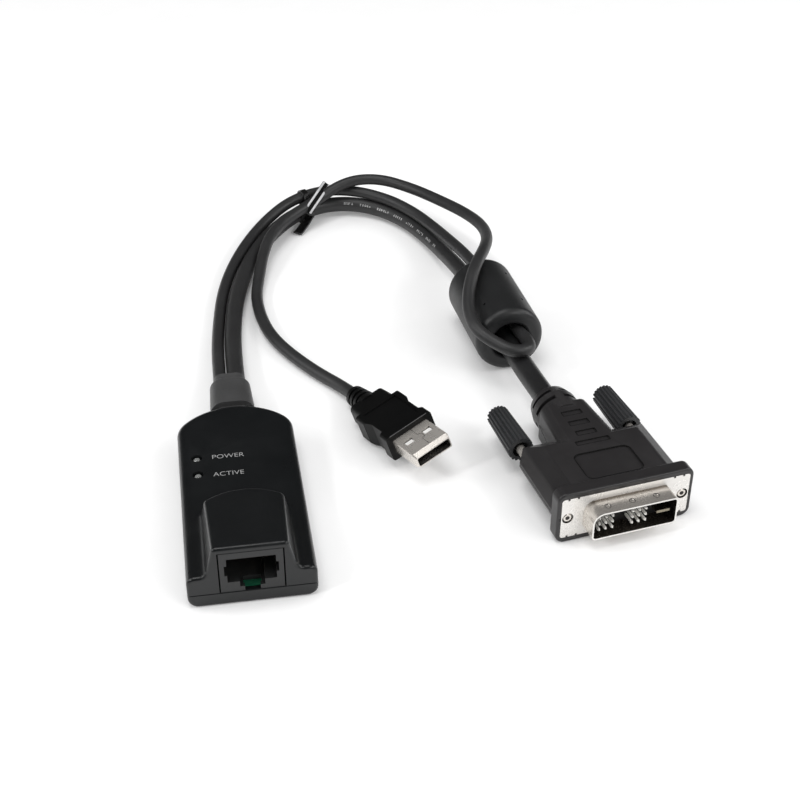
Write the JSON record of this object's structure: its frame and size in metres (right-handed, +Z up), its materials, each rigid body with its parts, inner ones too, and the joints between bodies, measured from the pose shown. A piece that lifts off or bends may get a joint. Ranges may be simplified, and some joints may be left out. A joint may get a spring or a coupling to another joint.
{
  "type": "part",
  "caption": "KVM interface dongle: a dark plastic case with a network jack, and two captive cords with a ferrite choke ending in a video plug and a USB plug",
  "frame": {"origin": "middle of the underside of the case, on the table", "axes": "+Z up, +Y along the case from the jack face to the cord end, +X to the right seen from the jack face"},
  "size_m": [0.1354, 0.2113, 0.026],
  "materials": {
    "case_plastic": "satin",
    "jack_plastic": "satin",
    "board_green": "gloss",
    "lamp_clear": "gloss",
    "chip_black": "satin",
    "ceramic_tan": "matte",
    "contact_gold": "polished",
    "screw_steel": "satin",
    "nickel_plate": "polished",
    "cord_vinyl": "satin",
    "sleeve_black": "satin",
    "ferrite_vinyl": "satin",
    "ferrite_grey": "matte",
    "plug_vinyl": "satin",
    "knob_plastic": "satin",
    "usb_vinyl": "satin",
    "tie_black": "gloss"
  },
  "bodies": {
    "unit": {"top_cover": "case_plastic", "bottom_cover": "case_plastic", "cover_screws": "screw_steel", "circuit_board": "board_green", "modular_jack": "jack_plastic", "jack_contacts": "contact_gold", "active_light": "lamp_clear", "power_light": "lamp_clear", "network_transformer": "chip_black", "main_chip": "chip_black", "video_chip": "chip_black", "memory_chip": "chip_black", "crystal": "nickel_plate", "capacitors": "ceramic_tan", "cord_boot": "cord_vinyl", "video_cord": "cord_vinyl", "usb_cord": "cord_vinyl", "video_cord_sleeve": "sleeve_black", "cord_tie": "tie_black", "ferrite_jacket": "ferrite_vinyl", "ferrite_core": "ferrite_grey", "video_plug_hood": "plug_vinyl", "video_plug_shell": "nickel_plate", "video_plug_insulator": "chip_black", "video_plug_pins": "contact_gold", "video_plug_blade": "contact_gold", "usb_plug_cover": "usb_vinyl", "usb_plug_shell": "nickel_plate", "usb_plug_tongue": "chip_black", "usb_plug_contacts": "contact_gold"},
    "left_clip": {"left_screw_clip": "screw_steel"},
    "left_screw": {"left_jackscrew": "nickel_plate", "left_thumbscrew_knob": "knob_plastic"},
    "right_clip": {"right_screw_clip": "screw_steel"},
    "right_screw": {"right_jackscrew": "nickel_plate", "right_thumbscrew_knob": "knob_plastic"}
  },
  "joints": [
    {"name": "left_screw_advance", "type": "slide", "parent": "unit", "child": "left_clip", "axis": [0.1595, -0.9872, 0], "range_m": [0, 0.0027]},
    {"name": "left_screw_turn", "type": "hinge", "parent": "left_clip", "child": "left_screw", "pos_m": [0.07998, -0.0078, 0.008], "axis": [0.1595, -0.9872, 0], "continuous": true},
    {"name": "right_screw_advance", "type": "slide", "parent": "unit", "child": "right_clip", "axis": [0.1595, -0.9872, 0], "range_m": [0, 0.0027]},
    {"name": "right_screw_turn", "type": "hinge", "parent": "right_clip", "child": "right_screw", "pos_m": [0.11288, -0.00249, 0.008], "axis": [0.1595, -0.9872, 0], "continuous": true}
  ]
}
